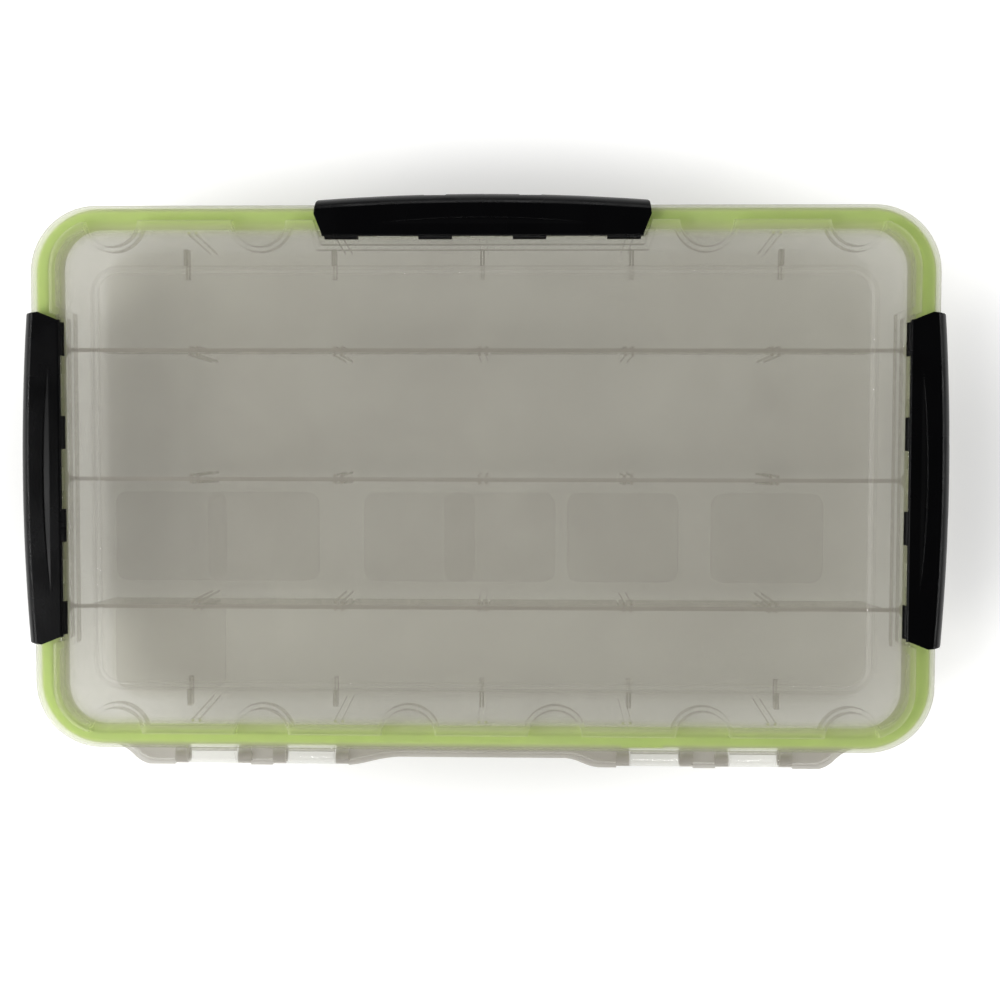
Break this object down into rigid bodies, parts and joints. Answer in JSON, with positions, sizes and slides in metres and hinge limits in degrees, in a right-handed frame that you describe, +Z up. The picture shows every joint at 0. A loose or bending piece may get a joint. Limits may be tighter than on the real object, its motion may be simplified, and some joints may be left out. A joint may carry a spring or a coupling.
{
  "type": "tackle tray",
  "caption": "Flat see-through storage tray with long rows, loose dividers, a hinged lid on a soft seal, and snap latches on three sides.",
  "frame": {"origin": "centre of the tray's flat underside", "axes": "X along the length, the single long-side latch on the -Y side, the hinge on the +Y side, +Z up"},
  "size_m": [0.365, 0.2268, 0.051],
  "materials": {
    "tray_plastic": "translucent moulded polypropylene",
    "lid_plastic": "translucent moulded polypropylene",
    "seal": "matte lime elastomer",
    "latch_plastic": "fine satin black",
    "divider_plastic": "translucent moulded polypropylene"
  },
  "bodies": {
    "tray_body": {"tray": "tray_plastic", "divider_1": "divider_plastic", "divider_2": "divider_plastic", "divider_3": "divider_plastic", "divider_4": "divider_plastic", "divider_5": "divider_plastic", "divider_6": "divider_plastic", "divider_7": "divider_plastic"},
    "lid_body": {"lid": "lid_plastic", "gasket": "seal"},
    "latch_front_body": {"latch_front": "latch_plastic"},
    "latch_right_body": {"latch_right": "latch_plastic"},
    "latch_left_body": {"latch_left": "latch_plastic"}
  },
  "joints": [
    {"name": "lid_hinge", "type": "hinge", "parent": "tray_body", "child": "lid_body", "pos_m": [0, 0.1119, 0.0386], "axis": [-1, 0, 0], "range_deg": [0, 180]},
    {"name": "latch_front_hinge", "type": "hinge", "parent": "lid_body", "child": "latch_front_body", "pos_m": [0, -0.09565, 0.0483], "axis": [-1, 0, 0], "range_deg": [0, 90]},
    {"name": "latch_right_hinge", "type": "hinge", "parent": "lid_body", "child": "latch_right_body", "pos_m": [0.1664, 0, 0.0483], "axis": [0, -1, 0], "range_deg": [0, 90]},
    {"name": "latch_left_hinge", "type": "hinge", "parent": "lid_body", "child": "latch_left_body", "pos_m": [-0.1664, 0, 0.0483], "axis": [0, 1, 0], "range_deg": [0, 90]}
  ]
}
